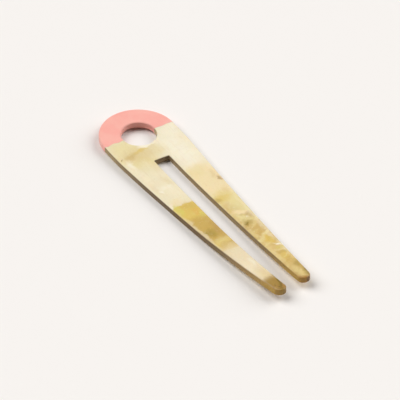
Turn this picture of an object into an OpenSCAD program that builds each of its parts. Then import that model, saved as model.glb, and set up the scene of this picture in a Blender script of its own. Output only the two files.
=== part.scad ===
// Two-pronged hairpin cut from one sheet of blond horn, with a lacquered ring head.
// Millimetres. The pin lies belly down on z = 0 with its head towards -X and its tips towards +X.
// Lengths along the pin are measured on its underside from the centre of the round head.

/* [Head] */
// Width of the round head
head_w = 32; // [30:0.5:34]
// Diameter of the hole through the head
hole_d = 14.4; // [13:0.1:16]
// Offset of the hole from the centre of the head, towards the tips
hole_shift = 0.05; // [0:0.05:1]

/* [Prongs] */
// Reach of the +Y prong from the centre of the head
reach = 111.7; // [105:0.1:116]
// Extra reach of the -Y prong
extra_reach = 1.5; // [0:0.1:2.5]
// How far each outer side closes in for each millimetre of length
taper = 0.068; // [0.062:0.001:0.074]
// Where the outer sides start to close in
shoulder = 11; // [8:0.5:14]
// Length over which they start to close in
shoulder_blend = 4; // [2:0.5:6]
// Length of the rounding of each tip
tip_round = 2.4; // [2:0.1:3]
// How far the tip of the -Y prong leans towards the other one
lean = 1.9; // [0:0.1:2.2]
// Where that prong starts to lean
lean_start = 60; // [50:1:70]

/* [Slot] */
// Square closed end of the slot between the prongs
slot_start = 17.8; // [17:0.1:20]
// Width of the slot at its closed end
slot_w = 6.7; // [6.4:0.1:7.6]
// How much wider the slot is at the tips
slot_flare = 1.8; // [1:0.1:2.4]

/* [Section] */
// Thickness of the horn
thickness = 2.7; // [2.5:0.1:3]
// Rounding of the edges
ease = 0.5; // [0.4:0.05:0.6]
// Radius of the bow along the whole pin
bow_r = 1000; // [800:10:2000]
// Lowest point of the belly
belly = 40; // [38:0.5:42]
// Width of the slope worn on the outer edge of the -Y prong at its tip
worn = 0.5; // [0:0.1:0.8]

/* [Lacquer] */
// Thickness of the lacquer coat
coat = 0.3; // [0.25:0.05:0.35]
// Where the lacquer ends on the head's centre line
coat_edge = 0.3; // [0:0.1:2]
// Slant of the lacquer's edge in degrees
coat_slant = 1.5; // [-3:0.5:3]
// Clearance between the lacquer and the horn inside it
coat_fit = 0.04; // [0.03:0.01:0.06]

/* [Hidden] */

head_r = head_w / 2;
hole_r = hole_d / 2;
worn_start = 50;
// Share of the thickness below which the worn slope leaves the wall upright
worn_from = 0.45;
// How far a cutting tool runs past what it cuts
past = 1;
// How far the horn inside the lacquer runs on into the bare horn
root = 2;
// How far a rim's rounding is turned before it runs out through the face
rim_turn = 80;

// Steps of the head's quarter arcs, the bare sides, a prong's length, a tip's quarter arc and an edge's rounding
head_steps = 12;
side_steps = 5;
prong_steps = 16;
tip_steps = 5;
ease_steps = 3;

body_count = head_steps + side_steps;
prong_count = prong_steps + tip_steps - 1;

horn_color = "#f1e3bd";
lacquer_color = "#fdb0a3";

// A ramp that is 0 well below zero, the number itself well above it, and soft between
function soft_ramp(u, soft) = (u + sqrt(u * u + soft * soft)) / 2;
// 0 below a, 1 above b, smooth between
function smooth(a, b, x) = let (u = min(1, max(0, (x - a) / (b - a)))) u * u * (3 - 2 * u);

// Half of the pin's width at x, and half of the slot's
function side_y(x) =
    head_r - taper * (soft_ramp(x - shoulder, shoulder_blend) - soft_ramp(-shoulder, shoulder_blend));
function slot_y(x) =
    slot_w / 2 + slot_flare / 2 * pow(max(0, x - slot_start) / (reach - slot_start), 1.5);

// Ends of the two prongs, side -1 at -Y and side 1 at +Y
function tip_x(side) = side < 0 ? reach + extra_reach : reach;
function lean_y(x, side) = side < 0 ? lean * pow(max(0, x - lean_start) / (reach - lean_start), 2) : 0;
function worn_y(x, side, height) =
    side < 0 ? worn * smooth(worn_start, reach, x) * max(0, height / thickness - worn_from) / (1 - worn_from) : 0;

// Station j along a prong, and the y of the prong's inner or outer edge there, both for an outline
// drawn in by inset at a height above the underside
function prong_x(j, side, inset) =
    let (start = tip_x(side) - tip_round)
    j <= prong_steps
        ? slot_start + (start - slot_start) * j / prong_steps
        : start + (tip_round - inset) * sin(90 * (j - prong_steps) / tip_steps);
function prong_y(j, side, inset, height, outer) =
    let (
        x = prong_x(j, side, inset),
        low = slot_y(x) + inset,
        high = side_y(x) - inset - worn_y(x, side, height),
        turn = j <= prong_steps ? 0 : 90 * (j - prong_steps) / tip_steps,
        half = (high - low) / 2 * cos(turn)
    )
    (low + high) / 2 + (outer ? half : -half) - lean_y(x, side);
function prong_edge(side, inset, height, outer) =
    [for (j = [1:prong_count]) [prong_x(j, side, inset), side * prong_y(j, side, inset, height, outer)]];
function prong_tip(side, inset, height) =
    let (j = prong_count + 1) [prong_x(j, side, inset), side * prong_y(j, side, inset, height, true)];

// Station i along the head and the bare sides, out to x_end
function body_point(i, side, inset, x_end) =
    i <= head_steps
        ? let (a = 90 * i / head_steps) [-(head_r - inset) * cos(a), side * (head_r - inset) * sin(a)]
        : let (x = x_end * (i - head_steps) / side_steps) [x, side * (side_y(x) - inset)];
function body_edge(side, inset, x_end) =
    [for (i = [1:body_count]) body_point(i, side, inset, x_end)];

function reversed(list) = [for (i = [len(list) - 1:-1:0]) list[i]];

// Outline of the whole pin, counter-clockwise from the end of the head
function pin_outline(inset, height) =
    concat(
        [[inset - head_r, 0]],
        body_edge(-1, inset, slot_start),
        prong_edge(-1, inset, height, true),
        [prong_tip(-1, inset, height)],
        reversed(prong_edge(-1, inset, height, false)),
        [for (side = [-1, 1]) [slot_start - inset, side * (slot_w / 2 + inset)]],
        prong_edge(1, inset, height, false),
        [prong_tip(1, inset, height)],
        reversed(prong_edge(1, inset, height, true)),
        reversed(body_edge(1, inset, slot_start))
    );
// Outline of the head alone, cut square at x_end
function head_outline(inset, x_end) =
    concat([[inset - head_r, 0]], body_edge(-1, inset, x_end), reversed(body_edge(1, inset, x_end)));

// Triangles that fill a ladder of two rows of points whose numbers a(i) and b(i) are linear in i
function ladder(a0, a_step, b0, b_step, first, last) = [
    for (i = [first:last - 1])
    let (a = a0 + a_step * i, b = b0 + b_step * i)
    each [[a, a + a_step, b], [a + a_step, b + b_step, b]]
];
function head_cap(count, last) = concat([[0, 1, count - 1]], ladder(0, 1, count, -1, 1, last));
function pin_cap() =
    let (
        count = 2 * body_count + 4 * prong_count + 5,
        b = body_count,
        low_tip = b + prong_count + 1,
        low_slot = b + 2 * prong_count + 2,
        high_slot = low_slot + 1,
        high_tip = high_slot + prong_count + 1
    )
    concat(
        head_cap(count, b - 1),
        [
            [b - 1, b, low_slot],
            [b - 1, low_slot, high_slot],
            [b - 1, high_slot, count - b + 1],
            [high_slot, count - b, count - b + 1]
        ],
        ladder(b, 1, low_slot, -1, 0, prong_count),
        [[low_tip - 1, low_tip, low_tip + 1]],
        ladder(high_slot, 1, count - b, -1, 0, prong_count),
        [[high_tip - 1, high_tip, high_tip + 1]]
    );

// Inset and height of each outline from the underside up, for a plate from z0 to z1 with edges rounded to r
function levels(z0, z1, r) =
    concat(
        [for (k = [0:ease_steps]) let (a = 90 * k / ease_steps) [r * (1 - sin(a)), z0 + r * (1 - cos(a))]],
        [[0, z0 + (z1 - z0) * worn_from]],
        [for (k = [ease_steps:-1:0]) let (a = 90 * k / ease_steps) [r * (1 - sin(a)), z1 - r * (1 - cos(a))]]
    );

// A point at a distance x along the underside and a height z above it, on the bowed pin
function bow_angle(x) = (x - belly) / bow_r * 180 / PI;
function bowed(x, y, z) =
    [belly + (bow_r - z) * sin(bow_angle(x)), y, bow_r - (bow_r - z) * cos(bow_angle(x))];
middle_x = (bowed(-head_r, 0, ease)[0] + bowed(reach + extra_reach, 0, ease)[0]) / 2;

// Bows a stack of outlines and closes it, with cap filling the first and the last of them
module bowed_stack(outlines, heights, cap) {
    count = len(outlines[0]);
    top = len(outlines) - 1;
    points = [for (k = [0:top]) for (p = outlines[k]) bowed(p[0], p[1], heights[k])];
    walls = [
        for (k = [0:top - 1]) for (i = [0:count - 1])
        let (a = k * count + i, b = k * count + (i + 1) % count)
        each [[a, a + count, b], [b, a + count, b + count]]
    ];
    floor_faces = cap;
    top_faces = [for (t = cap) [for (i = reversed(t)) i + top * count]];
    polyhedron(points = points, faces = concat(floor_faces, walls, top_faces));
}

// Places its children in the bowed pin's own frame at x, with z from the underside up
module on_pin(x) {
    translate(bowed(x, 0, 0)) rotate([0, -bow_angle(x), 0]) children();
}

// The pin before the hole is cut
module blank() {
    rows = levels(0, thickness, ease);
    bowed_stack([for (r = rows) pin_outline(r[0], r[1])], [for (r = rows) r[1]], pin_cap());
}

// The head drawn in by depth on every side, which runs on under the bare horn as its root
module head_core(depth) {
    rows = levels(depth, thickness - depth, ease - depth);
    x_end = coat_edge + root;
    outlines = [for (r = rows) head_outline(depth + r[0], x_end)];
    bowed_stack(outlines, [for (r = rows) r[1]], head_cap(2 * body_count + 1, body_count));
}

// Everything on the lacquered side of its edge, moved by shift towards the tips
module lacquered_side(shift) {
    on_pin(coat_edge + shift) rotate([0, 0, coat_slant])
        translate([-2 * head_w, -head_w, -head_w]) cube([2 * head_w, 2 * head_w, 2 * head_w]);
}

// The hole with its rims rounded, as a solid to cut with
module hole() {
    rim = [for (a = [0:rim_turn / 4:rim_turn]) [hole_r + ease * (1 - cos(a)), ease * (1 - sin(a))]];
    last = rim[len(rim) - 1];
    spread = last[0] + (last[1] + past) * tan(rim_turn);
    lower = concat([[0, -past], [spread, -past]], reversed(rim));
    upper = [for (p = reversed(lower)) [p[0], thickness - p[1]]];
    on_pin(hole_shift) rotate_extrude() polygon(concat(lower, upper));
}

// A straight hole wider than the real one by gap all round
module wide_hole(gap) {
    on_pin(hole_shift) translate([0, 0, -past]) cylinder(h = thickness + 2 * past, r = hole_r + gap);
}

module horn_fork() {
    color(horn_color) translate([-middle_x, 0, 0]) union() {
        difference() {
            blank();
            lacquered_side(0);
            hole();
        }
        difference() {
            head_core(coat + coat_fit);
            wide_hole(coat + coat_fit);
        }
    }
}

module lacquer_cap() {
    color(lacquer_color) translate([-middle_x, 0, 0]) difference() {
        intersection() {
            blank();
            lacquered_side(-coat_fit);
        }
        hole();
        difference() {
            head_core(coat);
            wide_hole(coat);
        }
    }
}

horn_fork();
lacquer_cap();
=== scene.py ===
"""Looks of a double hairpin cut from blond horn, with a lacquered ring head.

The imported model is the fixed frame. Both of its nodes are replaced by finely meshed pieces that are worked
out from the same driving sizes and dressed in procedural finishes. Shapes are drawn in millimetres in the
pin's own flat frame, with x along the underside from the centre of the head. They become metres in the
shared frame once the pin is bowed and laid down.
"""
import logging
import math
from collections.abc import Iterable, Mapping, Sequence
from dataclasses import dataclass
from enum import Enum
from typing import Any

import bmesh
import bpy
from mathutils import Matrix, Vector, noise
from mathutils.geometry import delaunay_2d_cdt


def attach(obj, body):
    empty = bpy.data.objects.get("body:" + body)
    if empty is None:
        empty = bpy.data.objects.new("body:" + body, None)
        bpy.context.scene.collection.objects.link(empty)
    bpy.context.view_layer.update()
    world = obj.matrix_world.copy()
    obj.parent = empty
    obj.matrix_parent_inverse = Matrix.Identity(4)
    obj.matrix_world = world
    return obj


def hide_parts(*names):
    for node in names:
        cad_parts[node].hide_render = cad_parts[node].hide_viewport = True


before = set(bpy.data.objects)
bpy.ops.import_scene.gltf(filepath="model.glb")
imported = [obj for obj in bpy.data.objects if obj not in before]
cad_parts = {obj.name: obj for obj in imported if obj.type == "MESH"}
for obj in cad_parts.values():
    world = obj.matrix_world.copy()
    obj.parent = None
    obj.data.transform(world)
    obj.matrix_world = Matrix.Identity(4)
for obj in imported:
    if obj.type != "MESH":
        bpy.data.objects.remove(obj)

MM = 0.001
PHOTO_SIDE = 400
SENSOR = 36.0
BODY = "root"
LOG = logging.getLogger("hairpin")
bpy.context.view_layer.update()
# Layers of the noise, one for each of its uses in the pin's form
BRUSH_LAYER = 4.0
WAVER_LAYER = 1.7
DRESS_LAYER = 9.0
# Sockets of a Mix node that mixes colours
MIX_SHARE = 0
MIX_FIRST = 6
MIX_SECOND = 7
MIX_RESULT = 2
# How the faces are split into triangles: whatever lies within the outline, with points this near taken as
# one
CUT_INSIDE = 1
CUT_MERGE = 1e-6


def soft_ramp(value: float, soft: float) -> float:
    """A ramp that is 0 well below zero, the value itself well above it, and soft between."""
    return (value + math.sqrt(value * value + soft * soft)) / 2


def smooth(low: float, high: float, value: float) -> float:
    """0 below low, 1 above high, smooth between."""
    share = min(1.0, max(0.0, (value - low) / (high - low)))
    return share * share * (3 - 2 * share)


def spread(start: float, end: float, steps: int) -> list[float]:
    """Evenly spaced numbers from start to end, both among them."""
    return [start + (end - start) * i / steps for i in range(steps + 1)]


def from_hex(code: str) -> tuple[float, float, float, float]:
    """A colour as Blender reads it, by the curve of the sRGB standard.

    Args:
        code: The colour as it looks, such as #fdb0a3.

    Returns:
        Its linear red, green and blue, and an alpha of 1.
    """
    parts = [int(code[i:i + 2], 16) / 255 for i in (1, 3, 5)]
    red, green, blue = (p / 12.92 if p <= 0.04045 else ((p + 0.055) / 1.055) ** 2.4 for p in parts)
    return red, green, blue, 1.0


@dataclass(frozen=True)
class Level:
    """One height of the plate.

    Attributes:
        inset: How far the outline is drawn in there.
        height: Height above the underside.
    """

    inset: float
    height: float


@dataclass(frozen=True)
class PinForm:
    """Driving sizes of the pin in millimetres, and the curves that follow from them.

    Side 1 is the +Y prong and side -1 the -Y prong, which is a little longer and leans in.

    Attributes:
        head_r: Radius of the round head.
        hole_r: Radius of the hole through it.
        hole_x: Offset of the hole from the head's centre, towards the tips.
        reach: Reach of the +Y prong from the head's centre.
        extra_reach: Extra reach of the -Y prong.
        taper: How far each outer side closes in for each millimetre of length.
        shoulder: Where the outer sides start to close in.
        shoulder_blend: Length over which they start to close in.
        tip_round: Length of the rounding of each tip.
        lean: How far the tip of the -Y prong leans towards the other one.
        lean_start: Where that prong starts to lean.
        slot_start: Where the slot's square closed end is.
        slot_w: Width of the slot there.
        slot_flare: How much wider the slot is at the tips.
        flare_power: How late along the slot it widens; 1 is evenly.
        slot_corner: Radius of the small corners of its closed end.
        thickness: Thickness of the horn.
        ease: Rounding of the edges.
        bow_r: Radius of the bow along the whole pin.
        belly: Lowest place of the bow.
        worn: Width of the slope worn on the outer edge of the -Y prong at its tip.
        worn_start: Where that slope starts.
        worn_from: Share of the thickness below which it leaves the wall upright.
        worn_power: How hollow the slope is; 1 is flat.
        coat: Thickness of the lacquer.
        coat_edge: Where the lacquer ends on the head's centre line.
        coat_slant: Slant of the lacquer's edge in degrees.
        coat_fit: Clearance between the lacquer and the horn.
        waver: How far the sides stray from their curves.
        waver_rates: How fast they do along and across the pin, in humps to a millimetre.
        dressed: How far the faces are rubbed down at most.
        dressed_rate: How fast that changes, in humps to a millimetre.
        painted: How far the lacquer's edge strays on the -Y side; on the other it strays half as far.
        brush_w: Width of one of its waves.
        brush_y: How far a wave's start lies beyond the head's centre line on the -Y side.
        brush_rate: How fast the waves change, in humps to a millimetre.
        brush_fade: How far from the edge its waves fade out.
    """

    head_r: float = 16.0
    hole_r: float = 7.2
    hole_x: float = 0.05
    reach: float = 111.7
    extra_reach: float = 1.5
    taper: float = 0.068
    shoulder: float = 11.0
    shoulder_blend: float = 4.0
    tip_round: float = 2.4
    lean: float = 1.9
    lean_start: float = 60.0
    slot_start: float = 17.8
    slot_w: float = 6.7
    slot_flare: float = 1.8
    flare_power: float = 1.5
    slot_corner: float = 0.35
    thickness: float = 2.7
    ease: float = 0.5
    bow_r: float = 1000.0
    belly: float = 40.0
    worn: float = 0.5
    worn_start: float = 50.0
    worn_from: float = 0.45
    worn_power: float = 1.5
    coat: float = 0.3
    coat_edge: float = 0.3
    coat_slant: float = 1.5
    coat_fit: float = 0.01
    waver: float = 0.05
    waver_rates: tuple[float, float] = (0.06, 0.05)
    dressed: float = 0.05
    dressed_rate: float = 0.12
    painted: float = 0.22
    brush_w: float = 5.0
    brush_y: float = 10.75
    brush_rate: float = 0.3
    brush_fade: float = 2.0

    def side_y(self, x: float) -> float:
        """Half of the pin's width at x."""
        start, end = (soft_ramp(place - self.shoulder, self.shoulder_blend) for place in (0.0, x))
        return self.head_r - self.taper * (end - start)

    def slot_y(self, x: float) -> float:
        """Half of the slot's width at x."""
        share = max(0.0, x - self.slot_start) / (self.reach - self.slot_start)
        return self.slot_w / 2 + self.slot_flare / 2 * share ** self.flare_power

    def tip_x(self, side: int) -> float:
        """Where a prong ends."""
        return self.reach + (self.extra_reach if side < 0 else 0.0)

    def lean_y(self, x: float, side: int) -> float:
        """How far the -Y prong leans towards the other one at x.

        Args:
            x: Place along the pin.
            side: The side of the pin.

        Returns:
            The distance, which is 0 for the +Y prong.
        """
        if side > 0:
            return 0.0
        return self.lean * (max(0.0, x - self.lean_start) / (self.reach - self.lean_start)) ** 2

    def worn_y(self, x: float, side: int, height: float) -> float:
        """How far the outer edge of the -Y prong is worn in at x and at a height.

        Args:
            x: Place along the pin.
            side: The side of the pin.
            height: Height above the underside.

        Returns:
            The distance, which is 0 for the +Y prong.
        """
        if side > 0:
            return 0.0
        above = max(0.0, height / self.thickness - self.worn_from) / (1 - self.worn_from)
        return self.worn * smooth(self.worn_start, self.reach, x) * above ** self.worn_power

    def edge_x(self, y: float) -> float:
        """Where the lacquer ends at y."""
        return self.coat_edge - math.tan(math.radians(self.coat_slant)) * y

    def levels(self, depth: float, turns: int = 6, rises: int = 4) -> list[Level]:
        """The plate's outline from the underside up, for a skin that lies at a depth under its surface.

        Args:
            depth: How far the skin lies under the plate's surface.
            turns: Steps of the rounding at each face.
            rises: Steps of the upright wall between the roundings.

        Returns:
            The levels, of the same number at any depth.
        """
        radius = self.ease - depth
        low = []
        for angle in spread(0, math.pi / 2, turns):
            inset = depth + radius * (1 - math.sin(angle))
            low.append(Level(inset, depth + radius * (1 - math.cos(angle))))
        wall = [Level(depth, h) for h in spread(self.ease, self.thickness - self.ease, rises)[1:-1]]
        high = [Level(level.inset, self.thickness - level.height) for level in reversed(low)]
        return low + wall + high

    def rim_point(self, side: int, x: float, level: Level) -> Vector:
        """A point of the head's arc, where x is below 0, or of a bare side.

        Args:
            side: The side of the pin.
            x: Place along the pin, on its own outline.
            level: The level of the outline.

        Returns:
            The point.
        """
        if x < 0:
            angle = math.acos(min(1.0, -x / self.head_r))
            radius = self.head_r - level.inset
            return Vector((-radius * math.cos(angle), side * radius * math.sin(angle), level.height))
        return Vector((x, side * (self.side_y(x) - level.inset), level.height))

    def hole_point(self, angle: float, level: Level) -> Vector:
        """A point of the hole's wall, by its angle from +X in radians."""
        radius = self.hole_r + level.inset
        return Vector((self.hole_x + radius * math.cos(angle), radius * math.sin(angle), level.height))

    def hole_edge(self, side: int) -> float:
        """Angle at which the lacquer's edge crosses the hole's wall, from 0 to a full turn."""
        angle = math.acos((self.edge_x(side * self.hole_r) - self.hole_x) / self.hole_r)
        return angle if side > 0 else 2 * math.pi - angle

    def prong_side(
        self, side: int, level: Level, outer: bool, steps: int = 104, turns: int = 14
    ) -> list[Vector]:
        """One edge of a prong from its root to its tip, the last point left out.

        Args:
            side: 1 for the +Y prong and -1 for the -Y prong.
            level: The level of the outline.
            outer: Whether it is the pin's outer edge and not the slot's.
            steps: Steps along the prong.
            turns: Steps round half of the tip.

        Returns:
            The edge's points.
        """
        root = self.slot_start if outer else self.slot_start + self.slot_corner
        start = self.tip_x(side) - self.tip_round
        stations = [(x, 0.0) for x in spread(root, start, steps)[1 if outer else 0:]]
        for turn in spread(0, math.pi / 2, turns)[1:-1]:
            stations.append((start + (self.tip_round - level.inset) * math.sin(turn), turn))
        points = []
        for x, turn in stations:
            low = self.slot_y(x) + level.inset
            high = self.side_y(x) - level.inset - self.worn_y(x, side, level.height)
            half = (high - low) / 2 * math.cos(turn) * (1 if outer else -1)
            y = (low + high) / 2 + half - self.lean_y(x, side)
            points.append(Vector((x, side * y, level.height)))
        return points

    def prong_end(self, side: int, level: Level) -> Vector:
        """The last point of a prong's tip.

        Args:
            side: The side of the pin.
            level: The level of the outline.

        Returns:
            The point.
        """
        x = self.tip_x(side) - level.inset
        middle = (self.slot_y(x) + self.side_y(x) - self.worn_y(x, side, level.height)) / 2
        return Vector((x, side * (middle - self.lean_y(x, side)), level.height))

    def slot_end(self, level: Level, turns: int = 4, steps: int = 6) -> list[Vector]:
        """The slot's square end with its small corners, from -Y to +Y.

        Args:
            level: The level of the outline.
            turns: Steps round each corner.
            steps: Steps of the flat part.

        Returns:
            The end's points.
        """
        half = self.slot_w / 2 - self.slot_corner
        radius = self.slot_corner + level.inset
        corner = []
        for turn in spread(0, math.pi / 2, turns)[1:]:
            x = self.slot_start + self.slot_corner - radius * math.sin(turn)
            corner.append(Vector((x, -half - radius * math.cos(turn), level.height)))
        end = self.slot_start - level.inset
        flat = [Vector((end, y, level.height)) for y in spread(-half, half, steps)[1:-1]]
        return corner + flat + [Vector((p.x, -p.y, p.z)) for p in reversed(corner)]

    def brush_wave(self, y: float) -> float:
        """How far the lacquer's edge, which was painted by hand, strays along the pin at y.

        Args:
            y: Place across the head.

        Returns:
            The distance, towards the tips.
        """
        swing = self.painted if y < 0 else self.painted / 2
        wave = math.sin(math.tau * (y + self.brush_y) / self.brush_w)
        return swing * (wave + noise.noise(Vector((0.0, y * self.brush_rate, BRUSH_LAYER))))

    def worked(self, p: Vector) -> Vector:
        """Moves a point as hand work leaves it, with faces not quite flat and edges not quite straight.

        Args:
            p: A point of the flat plate.

        Returns:
            The moved point. The lacquer's edge strays together with the horn on both sides of it.
        """
        along = (p.x - self.edge_x(p.y)) / self.brush_fade
        brushed = self.brush_wave(p.y) * math.exp(-along * along)
        rate_x, rate_y = self.waver_rates
        waver = self.waver * noise.noise(Vector((p.x * rate_x, p.y * rate_y, WAVER_LAYER)))
        spot = Vector((p.x * self.dressed_rate, p.y * self.dressed_rate, DRESS_LAYER))
        thinned = self.dressed * (0.5 + 0.5 * noise.noise(spot))
        middle = self.thickness / 2
        height = p.z + (middle - p.z) / middle * thinned
        return Vector((p.x + brushed, p.y + waver, height))

    def bowed(self, p: Vector) -> Vector:
        """A point of the flat plate on the bowed pin.

        Args:
            p: The point, with its height above the underside.

        Returns:
            The point, with the belly at height 0.
        """
        angle = (p.x - self.belly) / self.bow_r
        radius = self.bow_r - p.z
        return Vector((self.belly + radius * math.sin(angle), p.y, self.bow_r - radius * math.cos(angle)))

    def middle_x(self) -> float:
        """Middle of the pin's length, which is the shared frame's origin."""
        ends = (-self.head_r, self.reach + self.extra_reach)
        return sum(self.bowed(Vector((x, 0.0, self.ease))).x for x in ends) / 2

    def placed(self, p: Vector) -> Vector:
        """A point of the flat plate in the shared frame, in metres."""
        q = self.bowed(self.worked(p))
        return Vector((q.x - self.middle_x(), q.y, q.z)) * MM


class Shell:
    """Collects the points and faces of one closed mesh, in the pin's flat frame."""

    def __init__(self, form: PinForm) -> None:
        """Starts an empty shell for a form.

        Args:
            form: The pin's form, which lays the points on the bowed pin.
        """
        self.form = form
        self.points: list[Vector] = []
        self.faces: list[tuple[int, ...]] = []

    def row(self, points: Iterable[Vector]) -> list[int]:
        """Adds points.

        Args:
            points: The points.

        Returns:
            Their numbers.
        """
        first = len(self.points)
        self.points.extend(points)
        return list(range(first, len(self.points)))

    def band(self, low: Sequence[int], high: Sequence[int], closed: bool = True) -> None:
        """Joins two rows of points by a band of quads.

        Args:
            low: One row.
            high: The other row, of the same length.
            closed: Whether the band goes on from the last points to the first.
        """
        count = len(low)
        for i in range(count if closed else count - 1):
            j = (i + 1) % count
            self.faces.append((low[i], low[j], high[j], high[i]))

    def build(self, name: str, sharp_degrees: float = 50.0) -> bpy.types.Object:
        """Makes the Blender object, smooth but for its sharp edges.

        Args:
            name: Name of the piece.
            sharp_degrees: Edges that turn by more than this are shaded sharp.

        Returns:
            The new object, linked to the scene.
        """
        mesh = bpy.data.meshes.new(name)
        mesh.from_pydata([self.form.placed(p) for p in self.points], [], self.faces)
        work = bmesh.new()
        work.from_mesh(mesh)
        bmesh.ops.recalc_face_normals(work, faces=work.faces)
        for face in work.faces:
            face.smooth = True
        for edge in work.edges:
            edge.smooth = edge.calc_face_angle(0.0) < math.radians(sharp_degrees)
        work.to_mesh(mesh)
        work.free()
        piece = bpy.data.objects.new(name, mesh)
        bpy.context.scene.collection.objects.link(piece)
        return piece


@dataclass
class HornFork:
    """The fork of blond horn: a ring head and two prongs, sunk under the lacquer by the coat's thickness.

    Attributes:
        form: The pin's form.
        name: Name of the piece.
        arc_steps: Steps of each quarter arc of the head.
        bare_steps: Steps of each bare side as far as the slot's end.
        hole_steps: Steps round the hole.
        chain_steps: Steps along the lacquer's edge.
        grid: Distance between the points spread over the faces.
        clearance: How far those stay away from every edge.
        step_gap: How far the step down under the lacquer stands off the lacquer's edge.
    """

    form: PinForm
    name: str = "fork_of_horn"
    arc_steps: int = 44
    bare_steps: int = 22
    hole_steps: int = 96
    chain_steps: int = 10
    grid: float = 1.1
    clearance: float = 0.55
    step_gap: float = 0.01

    def rim_stations(self, side: int, sunk: bool) -> list[float]:
        """Places along the head and a bare side, from the end of the head to the slot's end.

        Args:
            side: The side of the pin.
            sunk: Whether the places are those under the lacquer.

        Returns:
            Their x, measured on the plate's own outline.
        """
        edge = self.form.edge_x(side * self.form.head_r)
        arc = [-self.form.head_r * math.cos(a) for a in spread(0, math.pi / 2, self.arc_steps)]
        stations = arc + spread(0, self.form.slot_start, self.bare_steps)[1:]
        room = self.form.head_r / self.arc_steps / 2
        if sunk:
            return [x for x in stations[1:] if x < edge - room] + [edge - self.step_gap]
        return [edge] + [x for x in stations if x > edge + room]

    def outline(self, bare: Level, sunk: Level) -> list[Vector]:
        """The whole outline, counter-clockwise from the end of the head.

        Args:
            bare: The level of the bare horn.
            sunk: The same level under the lacquer.

        Returns:
            The outline's points.
        """
        form = self.form
        head = {}
        for side in (-1, 1):
            head[side] = [form.rim_point(side, x, sunk) for x in self.rim_stations(side, sunk=True)]
            head[side] += [form.rim_point(side, x, bare) for x in self.rim_stations(side, sunk=False)]
        loop = [form.rim_point(-1, -form.head_r, sunk)] + head[-1]
        loop += form.prong_side(-1, bare, outer=True) + [form.prong_end(-1, bare)]
        loop += reversed(form.prong_side(-1, bare, outer=False))
        loop += form.slot_end(bare)
        loop += form.prong_side(1, bare, outer=False) + [form.prong_end(1, bare)]
        loop += reversed(form.prong_side(1, bare, outer=True))
        return loop + list(reversed(head[1]))

    def hole_angles(self, sunk: bool) -> list[float]:
        """Angles round the hole, clockwise, of the stretch under the lacquer or of the bare one.

        Args:
            sunk: Whether it is the stretch under the lacquer.

        Returns:
            The angles in radians.
        """
        upper, lower = self.form.hole_edge(1), self.form.hole_edge(-1)
        gap = self.step_gap / self.form.hole_r
        if sunk:
            return spread(lower - gap, upper + gap, self.hole_steps // 2)
        return spread(upper, lower - 2 * math.pi, self.hole_steps // 2)

    def hole(self, bare: Level, sunk: Level) -> list[Vector]:
        """The hole's whole outline, clockwise from the lacquer's edge at +Y."""
        outline = [self.form.hole_point(a, bare) for a in self.hole_angles(sunk=False)]
        return outline + [self.form.hole_point(a, sunk) for a in self.hole_angles(sunk=True)]

    def chain(self, shell: Shell, start: int, end: int, height: float) -> list[int]:
        """Points along the lacquer's edge from the hole to the rim, at a height.

        Args:
            shell: The shell to add to.
            start: Number of the point on the hole's rim.
            end: Number of the point on the outer rim.
            height: Height of the face above the underside.

        Returns:
            The numbers of the points between the two.
        """
        a, b = shell.points[start], shell.points[end]
        inner = [a.lerp(b, share) for share in spread(0, 1, self.chain_steps)[1:-1]]
        return shell.row(Vector((p.x, p.y, height)) for p in inner)

    def inside(self, x: float, y: float) -> bool:
        """Whether a point of the plan lies in the horn, clear of every edge.

        Args:
            x: Place along the pin.
            y: Place across it.

        Returns:
            True or False.
        """
        form, side, room = self.form, (1 if y > 0 else -1), self.form.ease + self.clearance
        if math.hypot(x - form.hole_x, y) < form.hole_r + room:
            return False
        if abs(x - form.edge_x(y)) < self.clearance:
            return False
        if x < 0:
            return math.hypot(x, y) < form.head_r - room
        reach = abs(y) + form.lean_y(x, side)
        outer = form.side_y(x) - form.worn_y(x, side, form.thickness) - room
        if x < form.slot_start - room:
            return reach < outer
        if not form.slot_y(x) + room < reach < outer:
            return False
        start = form.tip_x(side) - form.tip_round
        if x <= start:
            return True
        middle = (form.slot_y(x) + outer + room) / 2
        across = abs(reach - middle) / (outer + room - middle)
        return math.hypot((x - start) / form.tip_round, across) < 1 - room / form.tip_round

    def grid_points(self) -> list[tuple[float, float]]:
        """Points spread over the faces, in staggered rows.

        Returns:
            Their x and y.
        """
        form = self.form
        columns = int((form.head_r + form.reach + form.extra_reach) / self.grid)
        rows = int(2 * form.head_r / self.grid)
        found = []
        for i in range(columns + 1):
            x = -form.head_r + i * self.grid
            for j in range(rows + 1):
                y = -form.head_r + (j + (i % 2) / 2) * self.grid
                if self.inside(x, y):
                    found.append((x, y))
        return found

    def face_points(
        self,
        shell: Shell,
        rims: tuple[list[int], list[int]],
        heights: tuple[float, float],
        spots: Sequence[tuple[float, float]],
    ) -> tuple[list[int], list[list[int]]]:
        """Adds the points that a face has within its rims.

        Args:
            shell: The shell that holds the walls.
            rims: The numbers of the outline's and of the hole's points.
            heights: Height of the bare face and of the one under the lacquer.
            spots: Places spread over the face.

        Returns:
            The numbers of all of the face's points, rims first, and of the four chains from rim to rim that
            run along both sides of the lacquer's edge.
        """
        outline, hole = rims
        bare_z, sunk_z = heights
        low, high = (len(self.rim_stations(side, sunk=True)) for side in (-1, 1))
        bare_hole = len(self.hole_angles(sunk=False))
        ends = (
            (hole[0], outline[-high - 1], bare_z),
            (hole[-1], outline[-high], sunk_z),
            (hole[bare_hole - 1], outline[low + 1], bare_z),
            (hole[bare_hole], outline[low], sunk_z),
        )
        own = outline + hole
        chains = []
        for start, end, height in ends:
            inner = self.chain(shell, start, end, height)
            own += inner
            chains.append([start, *inner, end])
        edge_x = self.form.edge_x
        own += shell.row(Vector((x, y, sunk_z if x < edge_x(y) else bare_z)) for x, y in spots)
        return own, chains

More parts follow.
